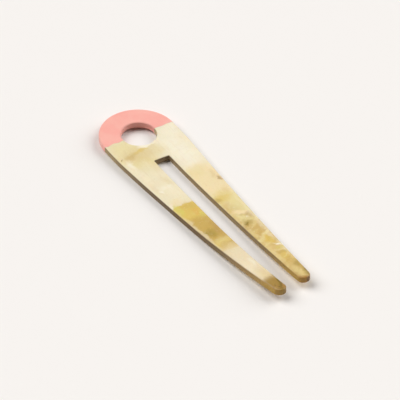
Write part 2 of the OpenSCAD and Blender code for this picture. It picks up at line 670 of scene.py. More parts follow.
    def cap(self, shell: Shell, rims: dict[str, tuple[list[int], list[int]]]) -> None:
        """Fills the upper and the lower face with the same triangles.

        Args:
            shell: The shell that holds the walls.
            rims: For the upper and the lower face, the numbers of the outline's and the hole's points.
        """
        top, coated = self.form.thickness, self.form.coat + self.form.coat_fit
        spots = self.grid_points()
        upper, chains = self.face_points(shell, rims["upper"], (top, top - coated), spots)
        lower, _ = self.face_points(shell, rims["lower"], (0.0, coated), spots)
        count, hole_count = (len(rim) for rim in rims["upper"])
        edges = [(i, (i + 1) % count) for i in range(count)]
        edges += [(count + i, count + (i + 1) % hole_count) for i in range(hole_count)]
        order = {number: k for k, number in enumerate(upper)}
        for chain in chains:
            edges += [(order[a], order[b]) for a, b in zip(chain, chain[1:])]
        plan = [Vector((shell.points[n].x, shell.points[n].y)) for n in upper]
        made = delaunay_2d_cdt(plan, edges, [], CUT_INSIDE, CUT_MERGE)
        if len(made[0]) != len(plan):
            raise ValueError("the outline crosses itself in plan")
        triangles, origins = made[2], made[3]
        for triangle in triangles:
            a, b, c = (origins[k][0] for k in triangle)
            if all(count <= k < count + hole_count for k in (a, b, c)):
                continue  # it lies in the hole
            shell.faces.append((upper[a], upper[b], upper[c]))
            shell.faces.append((lower[c], lower[b], lower[a]))

    def build(self) -> bpy.types.Object:
        """Builds the fork as one closed mesh.

        Returns:
            The piece.
        """
        shell = Shell(self.form)
        bare = self.form.levels(0.0)
        sunk = self.form.levels(self.form.coat + self.form.coat_fit)
        outlines = [shell.row(self.outline(b, s)) for b, s in zip(bare, sunk)]
        holes = [shell.row(self.hole(b, s)) for b, s in zip(bare, sunk)]
        for rows in (outlines, holes):
            for low, high in zip(rows, rows[1:]):
                shell.band(low, high)
        self.cap(shell, {"upper": (outlines[-1], holes[-1]), "lower": (outlines[0], holes[0])})
        return shell.build(self.name)

    def dress(self, piece: bpy.types.Object) -> None:
        """Gives the fork its finish and seats it on its node."""
        piece.data.materials.append(HornFinish(self.form).material())
        seat(piece, "horn_fork")


@dataclass
class LacquerCap:
    """The lacquer: a thin coat wrapped round the outer half of the ring head.

    Attributes:
        form: The pin's form.
        name: Name of the piece.
        stations: Steps from one end of the coat round to the other.
        face_steps: Steps across each face.
        lip: How far the coat's surface is rounded down at its ends.
        lip_places: Distances from an end at which the rounding is drawn; it ends at the last.
    """

    form: PinForm
    name: str = "cap_of_lacquer"
    stations: int = 120
    face_steps: int = 10
    lip: float = 0.07
    lip_places: tuple[float, ...] = (0.0, 0.03, 0.08, 0.15)

    def rim_places(self) -> list[tuple[int, float]]:
        """Side and x of each place along the head's outline, from the -Y edge to the +Y edge.

        Returns:
            A side and an x for each of the shares of the way round.
        """
        form = self.form
        starts = {side: form.edge_x(side * form.head_r) - form.coat_fit for side in (-1, 1)}
        quarter = form.head_r * math.pi / 2
        run_low, run_high = quarter + starts[-1], quarter + starts[1]
        places = []
        for share in self.shares():
            way = share * (run_low + run_high)
            side, left = (-1, run_low - way) if way < run_low else (1, way - run_low)
            x = left - quarter if left > quarter else -form.head_r * math.cos(left / form.head_r)
            places.append((side, x))
        return places

    def shares(self) -> list[float]:
        """Shares of the way round, closer together at the ends where the lip is.

        Returns:
            The shares, from 0 to 1.
        """
        length = math.pi * self.form.head_r
        close = [place / length for place in self.lip_places[:-1]]
        last = self.lip_places[-1] / length
        return close + spread(last, 1 - last, self.stations) + [1 - c for c in reversed(close)]

    def lip_depth(self, share: float) -> float:
        """How far the coat's surface is rounded down at a share of the way round.

        Args:
            share: The share.

        Returns:
            The distance under the surface that the head would have.
        """
        length = math.pi * self.form.head_r
        away = min(share, 1 - share) * length / self.lip_places[-1]
        return self.lip * max(0.0, 1 - away) ** 2

    def skin(self, shell: Shell, depth: float, lip: bool) -> list[list[int]]:
        """Adds one skin of the coat.

        Args:
            shell: The shell to add to.
            depth: How far the skin lies under the head's surface.
            lip: Whether its ends are rounded down.

        Returns:
            The rows of its points, each from one end of the coat to the other.
        """
        form = self.form
        upper, lower = form.hole_edge(1), form.hole_edge(-1)
        gap = form.coat_fit / form.hole_r
        columns = []
        for share, (side, x) in zip(self.shares(), self.rim_places()):
            angle = lower - gap + (upper + gap - (lower - gap)) * share
            levels = form.levels(depth + (self.lip_depth(share) if lip else 0.0))
            outer = [form.rim_point(side, x, level) for level in levels]
            inner = [form.hole_point(angle, level) for level in reversed(levels)]
            steps = spread(0, 1, self.face_steps)[1:-1]
            top = [outer[-1].lerp(inner[0], s) for s in steps]
            base = [inner[-1].lerp(outer[0], s) for s in steps]
            columns.append(outer + top + inner + base)
        return [shell.row(points) for points in zip(*columns)]

    def build(self) -> bpy.types.Object:
        """Builds the coat as one closed mesh: two skins joined at its ends.

        Returns:
            The piece.
        """
        shell = Shell(self.form)
        outer = self.skin(shell, 0.0, lip=True)
        inner = self.skin(shell, self.form.coat, lip=False)
        for rows in (outer, inner):
            for low, high in zip(rows, rows[1:] + rows[:1]):
                shell.band(low, high, closed=False)
        for end in (0, -1):
            shell.band([row[end] for row in outer], [row[end] for row in inner])
        return shell.build(self.name)

    def dress(self, piece: bpy.types.Object) -> None:
        """Gives the coat its finish and seats it on its node."""
        piece.data.materials.append(LacquerFinish(self.form).material())
        seat(piece, "lacquer_cap")


class ShaderGraph:
    """The node tree of one material, in which every node is added by one method."""

    def __init__(self, name: str) -> None:
        """Starts an empty material.

        Args:
            name: Its name.
        """
        self.material = bpy.data.materials.new(name)
        self.material.use_nodes = True
        self.tree = self.material.node_tree
        self.tree.nodes.clear()

    def add(
        self,
        kind: str,
        settings: Mapping[str, Any],
        sockets: Mapping[int | str, Any],
        output: int | str | None = 0,
    ) -> "Reading":
        """Adds a node.

        Args:
            kind: The node's type, such as ShaderNodeMath.
            settings: Its properties, which are set first.
            sockets: Values or readings for its inputs, by number or name.
            output: Number or name of the output to read, or None for a node that has none.

        Returns:
            The output, ready for arithmetic.
        """
        node = self.tree.nodes.new(kind)
        for name, value in settings.items():
            setattr(node, name, value)
        for key, value in sockets.items():
            if isinstance(value, Reading):
                self.tree.links.new(value.socket, node.inputs[key])
            else:
                node.inputs[key].default_value = value
        return Reading(self, node.inputs[0] if output is None else node.outputs[output])

    def mix(self, share: "Reading | float", first: Any, second: Any) -> "Reading":
        """Mixes two colours.

        Args:
            share: How much of the second there is.
            first: A colour, or a reading of one.
            second: Likewise.

        Returns:
            The mixed colour.
        """
        sockets = {MIX_SHARE: share, MIX_FIRST: first, MIX_SECOND: second}
        return self.add("ShaderNodeMix", {"data_type": "RGBA"}, sockets, MIX_RESULT)

    def vector(self, operation: str, *vectors: Any) -> "Reading":
        """Adds a Vector Math node.

        Args:
            operation: What it works out.
            *vectors: One to three vectors, or readings of them.

        Returns:
            The vector that comes out, or the number for LENGTH.
        """
        output = 1 if operation == "LENGTH" else 0
        return self.add("ShaderNodeVectorMath", {"operation": operation}, dict(enumerate(vectors)), output)

    def noise(
        self, place: "Reading", scale: float, detail: float = 2.0, rough: float = 0.5, output: str = "Fac"
    ) -> "Reading":
        """Noise at a place, mostly from 0.3 to 0.7.

        Args:
            place: Where it is read.
            scale: How many of its largest humps there are to a millimetre.
            detail: How many finer layers are added.
            rough: How strong the finer layers are.
            output: Fac for a number or Color for three of them.

        Returns:
            The noise.
        """
        sockets = {"Vector": place, "Scale": scale, "Detail": detail, "Roughness": rough}
        return self.add("ShaderNodeTexNoise", {}, sockets, output)

    def place(self, shift_x: float = 0.0) -> "Reading":
        """The place in the shared frame in millimetres, with x counted from shift_x before its origin."""
        metres = self.add("ShaderNodeTexCoord", {}, {}, "Object")
        return self.vector("MULTIPLY_ADD", metres, (1 / MM,) * 3, (shift_x, 0.0, 0.0))

    def bump(self, height: "Reading", relief: float, share: float) -> "Reading":
        """Adds a Bump node.

        Args:
            height: The height of the relief, from 0 to 1.
            relief: The height that 1 stands for, in millimetres.
            share: How much of the relief shows.

        Returns:
            The normal of the uneven surface.
        """
        sockets = {"Strength": share, "Distance": relief * MM, "Height": height}
        return self.add("ShaderNodeBump", {}, sockets)

    def surface(self, sockets: Mapping[str, Any]) -> bpy.types.Material:
        """Adds the surface's shader.

        Args:
            sockets: Values or readings for its inputs, by name.

        Returns:
            The finished material.
        """
        shader = self.add("ShaderNodeBsdfPrincipled", {}, sockets)
        self.add("ShaderNodeOutputMaterial", {}, {"Surface": shader}, None)
        return self.material


@dataclass(frozen=True)
class Reading:
    """A socket's value, on which Python arithmetic adds Math nodes.

    Attributes:
        graph: The graph that it belongs to.
        socket: The socket.
    """

    graph: ShaderGraph
    socket: bpy.types.NodeSocket

    def maths(self, operation: str, first: Any, second: Any) -> "Reading":
        """Adds a Math node."""
        return self.graph.add("ShaderNodeMath", {"operation": operation}, {0: first, 1: second})

    def __add__(self, other: "Reading | float") -> "Reading":
        """self + other."""
        return self.maths("ADD", self, other)

    __radd__ = __add__

    def __sub__(self, other: "Reading | float") -> "Reading":
        """self - other."""
        return self.maths("SUBTRACT", self, other)

    def __rsub__(self, other: float) -> "Reading":
        """other - self."""
        return self.maths("SUBTRACT", other, self)

    def __mul__(self, other: "Reading | float") -> "Reading":
        """self * other."""
        return self.maths("MULTIPLY", self, other)

    def __abs__(self) -> "Reading":
        """The size of self."""
        return self.maths("ABSOLUTE", self, 0.0)

    def parts(self) -> list["Reading"]:
        """The x, y and z of a vector."""
        x = self.graph.add("ShaderNodeSeparateXYZ", {}, {0: self})
        return [Reading(self.graph, socket) for socket in x.socket.node.outputs]

    def rise(self, low: float, high: float) -> "Reading":
        """0 up to low and 1 from high on, smooth between."""
        sockets = {"Value": self, "From Min": low, "From Max": high}
        return self.graph.add("ShaderNodeMapRange", {"interpolation_type": "SMOOTHSTEP"}, sockets)

    def fall(self, low: float, high: float, top: float = 1.0) -> "Reading":
        """The top value up to low and 0 from high on, smooth between."""
        sockets = {"Value": self, "From Min": low, "From Max": high, "To Min": top, "To Max": 0.0}
        return self.graph.add("ShaderNodeMapRange", {"interpolation_type": "SMOOTHSTEP"}, sockets)


class Tone(Enum):
    """Tones that the horn takes."""

    MILK = "#fbf2dc"
    CREAM = "#f6e9c8"
    IVORY = "#eee2c0"
    OAT = "#eddcb9"
    HONEY = "#f3ddac"
    STRAW = "#e9d899"
    SAND = "#e2c994"
    GOLD = "#dfc05c"
    CORN = "#dbba70"
    TAN = "#c8a557"
    OLIVE = "#a98f40"
    BARK = "#b28a55"
    UMBER = "#a57c38"
    MOSS = "#87741c"
    PEAT = "#5c4020"
    RESIN = "#be9a46"
    LEMON = "#dccf6c"
    AMBER = "#e0ae52"
    COPPER = "#a9792f"

    @property
    def colour(self) -> tuple[float, float, float, float]:
        """The tone as Blender reads it."""
        return from_hex(self.value)


@dataclass(frozen=True)
class Cloud:
    """One cloud in the horn, in the pin's flat frame in millimetres.

    Attributes:
        x: Place along the pin.
        y: Place across it.
        length: Its length, which lies along x before it is turned.
        width: Its width.
        turn: How far it is turned, in degrees.
        tone: Its tone.
        strength: How much it covers, from 0 to 1.
        edge: How soft its edge is, as a share of its size.
        square: 0 for an ellipse, and 1 or 2 for ever squarer shapes.
    """

    x: float
    y: float
    length: float
    width: float
    turn: float
    tone: Tone
    strength: float
    edge: float
    square: int = 0


HEAD_CLOUDS = (
    # The first two clouds are the milky horn of the +Y side, lightened further by a painted sheen.
    Cloud(x=17, y=9, length=24, width=10, turn=3, tone=Tone.MILK, strength=0.75, edge=0.7),
    Cloud(x=4, y=12.5, length=9, width=7, turn=10, tone=Tone.MILK, strength=0.6, edge=0.8),
    Cloud(x=12, y=0.5, length=9, width=7, turn=60, tone=Tone.STRAW, strength=0.4, edge=0.8),
    Cloud(x=9, y=-10, length=17, width=13, turn=0, tone=Tone.STRAW, strength=0.6, edge=0.5),
    Cloud(x=17, y=-6.5, length=11, width=9, turn=20, tone=Tone.STRAW, strength=0.8, edge=0.8),
    Cloud(x=12.5, y=-5, length=11, width=8, turn=-50, tone=Tone.SAND, strength=0.6, edge=0.8),
    Cloud(x=11, y=-10, length=9, width=6, turn=-65, tone=Tone.SAND, strength=0.55, edge=0.8),
    Cloud(x=9.6, y=-4.8, length=6.5, width=1.8, turn=-80, tone=Tone.GOLD, strength=0.6, edge=0.7),
    # A painted highlight along the rim of the hole, on the side towards the tips.
    Cloud(x=8.2, y=-1.0, length=1.8, width=7, turn=0, tone=Tone.MILK, strength=0.95, edge=0.6),
    Cloud(x=11.6, y=-10.3, length=5.5, width=3, turn=-65, tone=Tone.TAN, strength=0.5, edge=0.8),
    Cloud(x=11.5, y=-14, length=1.6, width=0.5, turn=-35, tone=Tone.UMBER, strength=0.8, edge=0.6),
    Cloud(x=17.5, y=-13.4, length=9, width=2.4, turn=-3, tone=Tone.CREAM, strength=0.8, edge=0.6),
    Cloud(x=16, y=-13, length=4, width=1.8, turn=10, tone=Tone.MILK, strength=0.6, edge=0.8),
    Cloud(x=18.4, y=-7.4, length=4.5, width=4, turn=0, tone=Tone.CREAM, strength=0.45, edge=0.9),
    Cloud(x=21.5, y=-5, length=6, width=2.6, turn=-20, tone=Tone.SAND, strength=0.35, edge=0.9),
)

NEAR_CLOUDS = (
    Cloud(x=34, y=-9, length=26, width=18, turn=0, tone=Tone.IVORY, strength=0.6, edge=0.3, square=1),
    Cloud(x=38, y=-7, length=10, width=5, turn=10, tone=Tone.CREAM, strength=0.8, edge=0.8),
    Cloud(x=36.3, y=-11, length=2.2, width=1.3, turn=20, tone=Tone.MILK, strength=0.95, edge=0.6),
    Cloud(x=27, y=-12, length=9, width=2.8, turn=-4, tone=Tone.CREAM, strength=0.8, edge=0.7),
    Cloud(x=31.8, y=-5.8, length=7, width=2.6, turn=8, tone=Tone.SAND, strength=0.35, edge=0.9),
    Cloud(x=33, y=-12.2, length=6, width=2.2, turn=0, tone=Tone.SAND, strength=0.35, edge=0.9),
    Cloud(x=35.2, y=-8, length=2.4, width=6, turn=-18, tone=Tone.MILK, strength=0.5, edge=0.8),
    Cloud(x=45.6, y=-9.6, length=4.5, width=5, turn=0, tone=Tone.HONEY, strength=0.6, edge=0.8),
    Cloud(x=64.3, y=-9, length=33, width=21, turn=3, tone=Tone.GOLD, strength=0.95, edge=0.03, square=2),
    Cloud(x=49.2, y=-6.5, length=4, width=7, turn=0, tone=Tone.TAN, strength=0.25, edge=0.8),
    Cloud(x=50, y=-11.4, length=7, width=2.6, turn=-5, tone=Tone.LEMON, strength=0.8, edge=0.7),
    Cloud(x=53.6, y=-5.4, length=4, width=3, turn=30, tone=Tone.AMBER, strength=0.6, edge=0.8),
    Cloud(x=56.6, y=-4.5, length=5, width=1.5, turn=0, tone=Tone.LEMON, strength=0.7, edge=0.7),
    Cloud(x=66, y=-8, length=17, width=19, turn=0, tone=Tone.TAN, strength=0.8, edge=0.3, square=1),
    Cloud(x=68.3, y=-8.8, length=4, width=4.5, turn=0, tone=Tone.OLIVE, strength=0.85, edge=0.9),
    Cloud(x=66.8, y=-5, length=8, width=2.2, turn=0, tone=Tone.BARK, strength=0.45, edge=0.8),
    Cloud(x=68.3, y=-10.5, length=2.6, width=1.6, turn=0, tone=Tone.OLIVE, strength=0.5, edge=0.8),
    Cloud(x=74.4, y=-7.2, length=4, width=7, turn=8, tone=Tone.STRAW, strength=0.5, edge=0.8),
    Cloud(x=77.8, y=-6.5, length=3.4, width=8, turn=8, tone=Tone.TAN, strength=0.6, edge=0.6),
    Cloud(x=78.6, y=-4.4, length=3.4, width=1.8, turn=5, tone=Tone.OLIVE, strength=0.5, edge=0.8),
    Cloud(x=66.5, y=-11.9, length=26, width=1.9, turn=4, tone=Tone.CREAM, strength=0.5, edge=0.7),
    Cloud(x=47.4, y=-13.3, length=5, width=2, turn=-38, tone=Tone.CREAM, strength=0.9, edge=0.5),
    Cloud(x=86, y=-8, length=15, width=14, turn=0, tone=Tone.SAND, strength=0.6, edge=0.3, square=1),
    Cloud(x=92, y=-6, length=24, width=14, turn=4, tone=Tone.OAT, strength=0.85, edge=0.5),
    Cloud(x=96, y=-7.6, length=12, width=3, turn=8, tone=Tone.CREAM, strength=0.6, edge=0.7),
    Cloud(x=92, y=-5.2, length=5, width=1.8, turn=12, tone=Tone.MILK, strength=0.6, edge=0.7),
)

FAR_CLOUDS = (
    Cloud(x=44, y=9, length=26, width=14, turn=0, tone=Tone.HONEY, strength=0.85, edge=0.4, square=1),
    Cloud(x=32, y=7, length=6, width=9, turn=20, tone=Tone.STRAW, strength=0.45, edge=0.7),
    Cloud(x=40.2, y=12.9, length=3.2, width=1.3, turn=-14, tone=Tone.UMBER, strength=0.65, edge=0.8),
    Cloud(x=37, y=12, length=5, width=2, turn=-14, tone=Tone.SAND, strength=0.6, edge=0.8),
    Cloud(x=60, y=8, length=20, width=14, turn=0, tone=Tone.STRAW, strength=0.9, edge=0.3, square=1),
    Cloud(x=50.5, y=8, length=5, width=5, turn=0, tone=Tone.GOLD, strength=0.35, edge=0.8),
    Cloud(x=52.5, y=6, length=4, width=5.5, turn=-15, tone=Tone.GOLD, strength=0.6, edge=0.7),
    Cloud(x=52.3, y=4.8, length=3.4, width=2.2, turn=0, tone=Tone.OLIVE, strength=0.4, edge=0.8),
    Cloud(x=48, y=11, length=4, width=2, turn=-20, tone=Tone.CORN, strength=0.35, edge=0.8),
    Cloud(x=57.5, y=5.5, length=8, width=2, turn=-25, tone=Tone.SAND, strength=0.5, edge=0.7),
    Cloud(x=60.5, y=6.4, length=9, width=4.5, turn=15, tone=Tone.TAN, strength=0.35, edge=0.9),
    Cloud(x=63.5, y=4.6, length=15, width=2, turn=0, tone=Tone.CORN, strength=0.6, edge=0.8),
    Cloud(x=63.3, y=8.6, length=7, width=2.8, turn=75, tone=Tone.HONEY, strength=1.0, edge=0.6),
    Cloud(x=66, y=10.4, length=4.4, width=3, turn=-30, tone=Tone.BARK, strength=0.55, edge=0.6),
    Cloud(x=67.2, y=8.8, length=1.2, width=0.5, turn=-20, tone=Tone.MILK, strength=0.6, edge=0.6),
    Cloud(x=91, y=7.5, length=44, width=16, turn=0, tone=Tone.CORN, strength=0.9, edge=0.12, square=1),
    Cloud(x=70, y=7, length=4, width=4, turn=-40, tone=Tone.OLIVE, strength=0.55, edge=0.8),
    Cloud(x=70.9, y=6.3, length=2.4, width=1.2, turn=-15, tone=Tone.MOSS, strength=0.9, edge=0.6),
    Cloud(x=73.5, y=5, length=7, width=2, turn=0, tone=Tone.BARK, strength=0.4, edge=0.8),
    Cloud(x=76, y=8, length=8, width=5, turn=-25, tone=Tone.TAN, strength=0.5, edge=0.7),
    Cloud(x=80.5, y=8.5, length=9, width=1.8, turn=-62, tone=Tone.STRAW, strength=0.75, edge=0.7),
    Cloud(x=84, y=8, length=5, width=4.5, turn=-30, tone=Tone.GOLD, strength=0.75, edge=0.5),
    Cloud(x=87.9, y=9.4, length=4, width=0.9, turn=55, tone=Tone.MILK, strength=0.85, edge=0.7),
    Cloud(x=89.8, y=9, length=3, width=1.8, turn=60, tone=Tone.LEMON, strength=0.6, edge=0.7),
    Cloud(x=91.4, y=8.4, length=4, width=1.0, turn=65, tone=Tone.STRAW, strength=0.7, edge=0.7),
    Cloud(x=93, y=7.8, length=4, width=1.5, turn=70, tone=Tone.OLIVE, strength=0.45, edge=0.8),
    Cloud(x=96, y=7.6, length=6, width=4, turn=0, tone=Tone.GOLD, strength=0.65, edge=0.7),
    Cloud(x=88, y=5.2, length=36, width=1.6, turn=0.5, tone=Tone.STRAW, strength=0.45, edge=0.8),
    Cloud(x=74, y=11, length=44, width=2, turn=-3.9, tone=Tone.CREAM, strength=0.45, edge=0.8),
    Cloud(x=103.5, y=6.8, length=13, width=6, turn=-4, tone=Tone.TAN, strength=0.45, edge=0.7),
    Cloud(x=101.8, y=8.3, length=4.4, width=1.6, turn=-10, tone=Tone.OLIVE, strength=0.7, edge=0.8),
    Cloud(x=107, y=6.4, length=8, width=3, turn=-6, tone=Tone.STRAW, strength=0.5, edge=0.7),
    Cloud(x=108, y=9, length=12, width=2, turn=-5, tone=Tone.OLIVE, strength=0.6, edge=0.7),
    Cloud(x=108, y=9.3, length=9, width=0.7, turn=-7, tone=Tone.PEAT, strength=0.45, edge=0.7),
)

TIP_CLOUDS = (
    Cloud(x=102, y=-5, length=9, width=7, turn=0, tone=Tone.CORN, strength=0.4, edge=0.8),
    Cloud(x=116, y=-7, length=23, width=26, turn=15, tone=Tone.UMBER, strength=0.97, edge=0.22, square=1),
    Cloud(x=107, y=-6, length=6, width=5, turn=0, tone=Tone.OLIVE, strength=0.45, edge=0.8),
    Cloud(x=111.8, y=-5.8, length=2.6, width=2.2, turn=30, tone=Tone.TAN, strength=0.4, edge=0.7),
    Cloud(x=110.5, y=-3.9, length=6, width=1.3, turn=-8, tone=Tone.MOSS, strength=0.6, edge=0.7),
    Cloud(x=105.5, y=-3.2, length=6, width=1, turn=2, tone=Tone.MOSS, strength=0.7, edge=0.6),
    Cloud(x=109, y=-3.3, length=7, width=0.8, turn=-8, tone=Tone.PEAT, strength=0.4, edge=0.6),
    Cloud(x=112.4, y=6, length=5, width=9, turn=-8, tone=Tone.COPPER, strength=0.95, edge=0.35),
)

# Colours of the sides; some of the dark clouds are painted shade, as marked.
CUT_AND_SHADE_CLOUDS = (
    # These two are painted shade on the outer side of the -Y prong.
    Cloud(x=49, y=-13.6, length=52, width=8, turn=4.3, tone=Tone.PEAT, strength=0.8, edge=0.6),
    Cloud(x=75, y=-11.4, length=24, width=8, turn=4.3, tone=Tone.PEAT, strength=0.35, edge=0.6),
    Cloud(x=115, y=0, length=42, width=60, turn=0, tone=Tone.RESIN, strength=1.0, edge=0.5),
    Cloud(x=96, y=-10, length=20, width=8, turn=4, tone=Tone.UMBER, strength=0.5, edge=0.6),
    Cloud(x=113, y=6, length=6, width=9, turn=0, tone=Tone.COPPER, strength=0.8, edge=0.5),
    Cloud(x=111.4, y=8.6, length=3, width=2.6, turn=0, tone=Tone.PEAT, strength=0.8, edge=0.6),
    Cloud(x=113.2, y=-3.4, length=4, width=2, turn=-40, tone=Tone.PEAT, strength=0.6, edge=0.6),
    Cloud(x=113, y=-7, length=3, width=5, turn=0, tone=Tone.UMBER, strength=0.5, edge=0.7),
    Cloud(x=3.5, y=7, length=9, width=5, turn=0, tone=Tone.HONEY, strength=0.45, edge=0.5),
    Cloud(x=5, y=-16, length=12, width=6, turn=0, tone=Tone.SAND, strength=0.2, edge=0.6),
    # Painted shade at the slot's closed end.
    Cloud(x=19, y=1, length=4.5, width=8, turn=0, tone=Tone.PEAT, strength=0.45, edge=0.6),
)

PORED = Cloud(x=110.9, y=-5.6, length=4.6, width=2.8, turn=-12, tone=Tone.UMBER, strength=0.75, edge=0.4)

RIPPLED = Cloud(x=86, y=8, length=48, width=16, turn=0, tone=Tone.CORN, strength=0.42, edge=0.3)


@dataclass(frozen=True)
class HornFinish:
    """Polished blond horn: cream with clouds, fibres along its length, and browner sides, partly the colour
    of sawn horn and partly painted shade.

    Attributes:
        form: The pin's form.
        name: Name of the material.
        fibre: Colour of the fibres.
        cut_and_shade: Colour of the sides, partly the sawn horn's own and partly painted shade.
        pore_and_shade: Colour of pores, and of the painted shade just under the upper edge of the sides.
        stirs: Noises that give clouds uneven edges: humps to a millimetre, and how far they move a place.
        drift_rate: How fast cream and ivory take turns, in humps to a millimetre.
        slant: Turn of the ripples in degrees.
        ripple_size: Length of the ripples along, across and through the horn, in millimetres.
        ripple_shares: How much light and dark ripples cover outside the golden part.
        fleck_rate: How fast the flecks change, in humps to a millimetre.
        fleck_shares: How much light and dark flecks cover.
        fibre_rates: How fast the fibres change along, across and through the horn.
        fibre_share: How much the fibres cover.
        fine_rates: How fast the fine fibres change, likewise.
        fine_share: How much those cover.
        flat: Least upward part of the normal at which a face still shows none of the sides' colour.
        upright: Upward part of the normal at which the sides' colour shows in full.
        cut_and_shade_share: How much the colour of the sides covers.
        shade_from: Height above the underside at which the painted shade on the sides starts.
        shade_gap: How far under the upper face it is darkest.
        shade_share: How dark it is there.
        shade_ends: Places along the pin from which and up to which it fades.
        pore_rate: How fast the pores change, in humps to a millimetre.
        relief: Height of the fibres in the surface, in millimetres.
        relief_share: How much of it shows.
        roughness: Roughness of the polished faces.
        fibre_roughness: What the fibres add to it.
        cut_roughness: What the sides add to it.
        ior: How strongly the horn bends light.
        translucence: How much of the light goes through the surface.
        depth: How far red, green and blue light go, in metres.
    """

    form: PinForm
    name: str = "blond_horn"
    fibre: str = "#cfae74"
    cut_and_shade: str = "#9b835a"
    pore_and_shade: str = "#5f4320"
    stirs: tuple[tuple[float, float], ...] = ((0.2, 4.0), (0.9, 1.1), (3.5, 0.3))
    drift_rate: float = 0.14
    slant: float = -62.0
    ripple_size: tuple[float, float, float] = (5.5, 2.4, 5.5)
    ripple_shares: tuple[float, float] = (0.1, 0.04)
    fleck_rate: float = 1.1
    fleck_shares: tuple[float, float] = (0.16, 0.1)
    fibre_rates: tuple[float, float, float] = (0.16, 1.5, 1.5)
    fibre_share: float = 0.18
    fine_rates: tuple[float, float, float] = (0.5, 6.0, 6.0)
    fine_share: float = 0.06
    flat: float = 0.96
    upright: float = 0.35
    cut_and_shade_share: float = 0.92
    shade_from: float = 0.4
    shade_gap: float = 0.3
    shade_share: float = 0.3
    shade_ends: tuple[float, float] = (96.0, 107.0)
    pore_rate: float = 1.9
    relief: float = 0.03
    relief_share: float = 0.25
    roughness: float = 0.42
    fibre_roughness: float = 0.1
    cut_roughness: float = 0.15
    ior: float = 1.54
    translucence: float = 0.2
    depth: tuple[float, float, float] = (0.0012, 0.0008, 0.0004)

    def stirred(self, graph: ShaderGraph, place: Reading) -> Reading:
        """The place in plan, moved about a little, so that clouds get uneven edges.

        Args:
            graph: The graph to add to.
            place: The place on the pin.

        Returns:
            The stirred place, with z 0.
        """
        for scale, reach in self.stirs:
            stir = graph.vector("SUBTRACT", graph.noise(place, scale, output="Color"), (0.5, 0.5, 0.5))
            place = graph.vector("MULTIPLY_ADD", stir, (reach, reach, reach), place)
        return graph.vector("MULTIPLY", place, (1.0, 1.0, 0.0))

    def cover(self, graph: ShaderGraph, place: Reading, cloud: Cloud) -> Reading:
        """How much a cloud covers the horn at a place, from 0 to its strength.

        Args:
            graph: The graph to add to.
            place: The stirred place in plan.
            cloud: The cloud.

        Returns:
            The share.
        """
        sockets = {
            "Vector": place,
            "Location": (cloud.x, cloud.y, 0.0),
            "Rotation": (0.0, 0.0, math.radians(cloud.turn)),
            "Scale": (cloud.length / 2, cloud.width / 2, 1.0),
        }
        away = graph.add("ShaderNodeMapping", {"vector_type": "TEXTURE"}, sockets)
        for _ in range(cloud.square):
            away = graph.vector("MULTIPLY", away, away)
        power = 2 ** cloud.square
        inner, outer = (1 - cloud.edge) ** power, (1 + cloud.edge) ** power
        return graph.vector("LENGTH", away).fall(inner, outer, cloud.strength)

    def clouded(
        self, graph: ShaderGraph, plan: Reading, colour: Any, clouds: Sequence[Cloud]
    ) -> Reading:
        """Lays clouds over a colour, each over those before it.

        Args:
            graph: The graph to add to.
            plan: The stirred place in plan.
            colour: The colour so far.
            clouds: The clouds, in order.

        Returns:
            The new colour.
        """
        for cloud in clouds:
            colour = graph.mix(self.cover(graph, plan, cloud), colour, cloud.tone.colour)
        return colour

    def later(self, graph: ShaderGraph, plan: Reading, colour: Reading) -> Reading:
        """The same place in plan, but read only once a colour is known.

        The renderer works out all clouds that wait for nothing else side by side, and has room for about
        seventy. The clouds that use this place wait for the colour, so that there is room for them again.

        Args:
            graph: The graph to add to.
            plan: The stirred place in plan.
            colour: The colour to wait for.

        Returns:
            The place in plan.
        """
        return graph.vector("MULTIPLY_ADD", colour, (0.0, 0.0, 0.0), plan)

    def rippled(self, graph: ShaderGraph, place: Reading, plan: Reading, colour: Reading) -> Reading:
        """Adds slanting ripples, strong in the golden part of the +Y prong, and small flecks.

        Args:
            graph: The graph to add to.
            place: The place on the pin.
            plan: The stirred place in plan.
            colour: The colour so far.

        Returns:
            The new colour.
        """
        strong = self.cover(graph, plan, RIPPLED)
        turn = (0.0, 0.0, math.radians(self.slant))
        sockets = {"Vector": plan, "Rotation": turn, "Scale": self.ripple_size}
        turned = graph.add("ShaderNodeMapping", {"vector_type": "TEXTURE"}, sockets)
        ripples = graph.noise(turned, 1.0, 3.0)
        light, dark = self.ripple_shares
        colour = graph.mix(ripples.rise(0.5, 0.68) * (strong + light), colour, Tone.STRAW.colour)
        colour = graph.mix(ripples.fall(0.3, 0.48) * (strong + dark), colour, Tone.TAN.colour)
        flecks = graph.noise(place, self.fleck_rate, 3.0)
        light, dark = self.fleck_shares
        colour = graph.mix(flecks.rise(0.58, 0.72) * light, colour, Tone.MILK.colour)
        return graph.mix(flecks.fall(0.3, 0.4) * dark, colour, Tone.TAN.colour)

    def painted_shade_under_edge(self, place: Reading) -> Reading:
        """How much painted shade a side gets: most just under the upper edge, and nothing at the underside
        or the tips.

        Args:
            place: The place on the pin.

        Returns:
            The share of the painted shade.
        """
        x, _, z = place.parts()
        along = x - self.form.belly
        height = z - along * along * (0.5 / self.form.bow_r)
        line = height.rise(self.shade_from, self.form.thickness - self.shade_gap)
        return line * x.fall(*self.shade_ends, self.shade_share)

